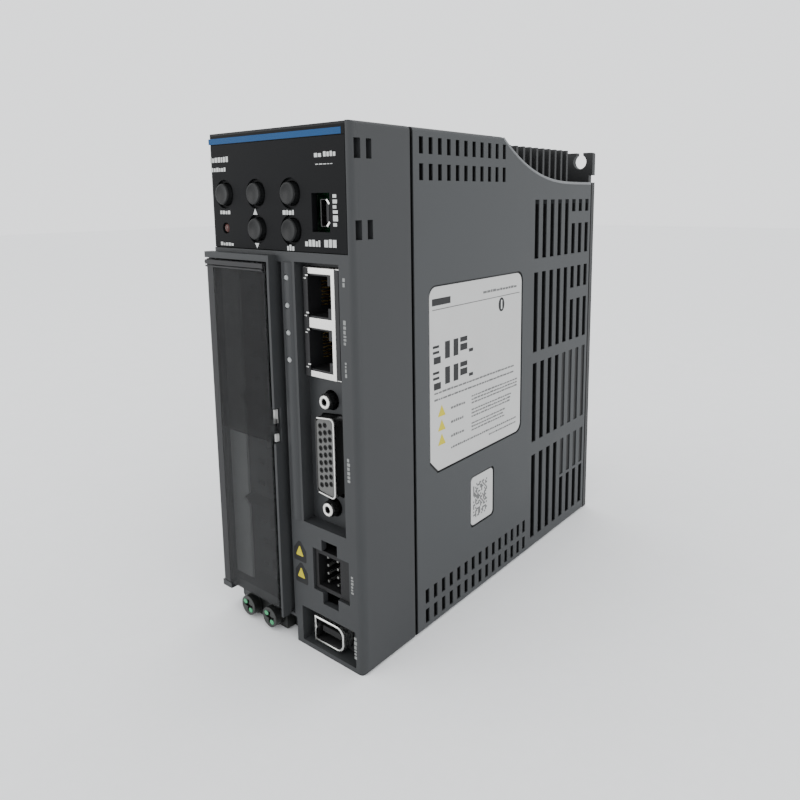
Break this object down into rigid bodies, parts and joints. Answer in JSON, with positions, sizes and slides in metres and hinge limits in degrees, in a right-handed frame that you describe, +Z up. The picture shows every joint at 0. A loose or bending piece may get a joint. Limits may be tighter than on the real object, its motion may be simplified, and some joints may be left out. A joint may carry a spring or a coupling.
{
  "type": "servo drive",
  "caption": "Book-format servo drive with a keypad panel, signal sockets, a hinged cover over power terminals, vented housing, rear heat sink flange and a cooling fan.",
  "frame": {"origin": "centre of the standing face's outline, cover included", "axes": "+Z up, -Y towards the keypad face, +X towards the side with the rating label"},
  "size_m": [0.064, 0.149, 0.16],
  "materials": {
    "housing": "fine spark texture, charcoal grey",
    "panel": "satin gloss black",
    "stripe": "satin blue",
    "key": "soft black",
    "red_lens": "clear dark red",
    "light_pipe": "frosted clear",
    "display": "dark smoked red",
    "board": "solder mask green",
    "plated_steel": "nickel plated",
    "black_plastic": "glass filled black",
    "gold": "gold flashed",
    "smoked_cover": "smoked translucent",
    "plug_plastic": "grey black",
    "legend": "pale grey print strip",
    "zinc_steel": "zinc plated",
    "sink": "dark grey powder coat on die casting",
    "pad": "grey silicone",
    "brass": "turned",
    "sheet": "translucent polyester",
    "sleeve": "shrunk vinyl sleeve",
    "white_plastic": "moulded",
    "copper": "enamelled winding",
    "ceramic": "glazed",
    "film": "epoxy filled box",
    "label": "satin polyester film"
  },
  "bodies": {
    "drive": {"main_housing": "housing", "front_shell": "housing", "keypad_panel": "panel", "accent_stripe": "stripe", "charge_light": "red_lens", "status_light_pipes": "light_pipe", "segment_display": "display", "display_board": "board", "key_switches": "plated_steel", "usb_shell": "plated_steel", "usb_tongue": "black_plastic", "jack_shield": "plated_steel", "jack_insert": "black_plastic", "jack_contacts": "gold", "signal_shell": "plated_steel", "signal_insert": "black_plastic", "jack_screws": "plated_steel", "safety_header": "black_plastic", "safety_pins": "gold", "encoder_shell": "plated_steel", "encoder_insert": "black_plastic", "hinge_pins": "black_plastic", "motor_plug": "plug_plastic", "bus_plug": "plug_plastic", "supply_plug": "plug_plastic", "terminal_headers": "black_plastic", "wire_clamps": "plated_steel", "terminal_legend": "legend", "ground_plate": "zinc_steel", "ground_screws": "zinc_steel", "ground_washers": "zinc_steel", "heat_sink": "sink", "sink_screws": "zinc_steel", "power_module": "black_plastic", "module_screws": "zinc_steel", "thermal_pad": "pad", "control_board": "board", "control_chips": "black_plastic", "board_posts": "brass", "board_screws": "zinc_steel", "power_board": "board", "insulation_sheet": "sheet", "bus_capacitors": "sleeve", "relay": "white_plastic", "choke": "copper", "fuse": "ceramic", "filter_capacitors": "film", "riser_board": "board", "fan_frame": "black_plastic", "fan_guard": "black_plastic", "rating_label": "label", "code_label": "label"},
    "cover": {"terminal_cover": "smoked_cover"},
    "fan": {"fan_rotor": "black_plastic"},
    "mode_key": {"button_mode": "key"},
    "up_key": {"button_up": "key"},
    "shift_key": {"button_shift": "key"},
    "down_key": {"button_down": "key"},
    "set_key": {"button_set": "key"}
  },
  "joints": [
    {"name": "cover_hinge", "type": "hinge", "parent": "drive", "child": "cover", "pos_m": [-0.0304, -0.0729, 0.066], "axis": [0, 0, -1], "range_deg": [0, 110]},
    {"name": "fan_spin", "type": "hinge", "parent": "drive", "child": "fan", "pos_m": [0.00855, 0.029, 0.009], "axis": [0, 0, 1], "continuous": true},
    {"name": "mode_key_press", "type": "slide", "parent": "drive", "child": "mode_key", "axis": [0, 1, 0], "range_m": [0, 0.0007], "stiffness_N_per_m": 400},
    {"name": "up_key_press", "type": "slide", "parent": "drive", "child": "up_key", "axis": [0, 1, 0], "range_m": [0, 0.0007], "stiffness_N_per_m": 400},
    {"name": "shift_key_press", "type": "slide", "parent": "drive", "child": "shift_key", "axis": [0, 1, 0], "range_m": [0, 0.0007], "stiffness_N_per_m": 400},
    {"name": "down_key_press", "type": "slide", "parent": "drive", "child": "down_key", "axis": [0, 1, 0], "range_m": [0, 0.0007], "stiffness_N_per_m": 400},
    {"name": "set_key_press", "type": "slide", "parent": "drive", "child": "set_key", "axis": [0, 1, 0], "range_m": [0, 0.0007], "stiffness_N_per_m": 400}
  ]
}
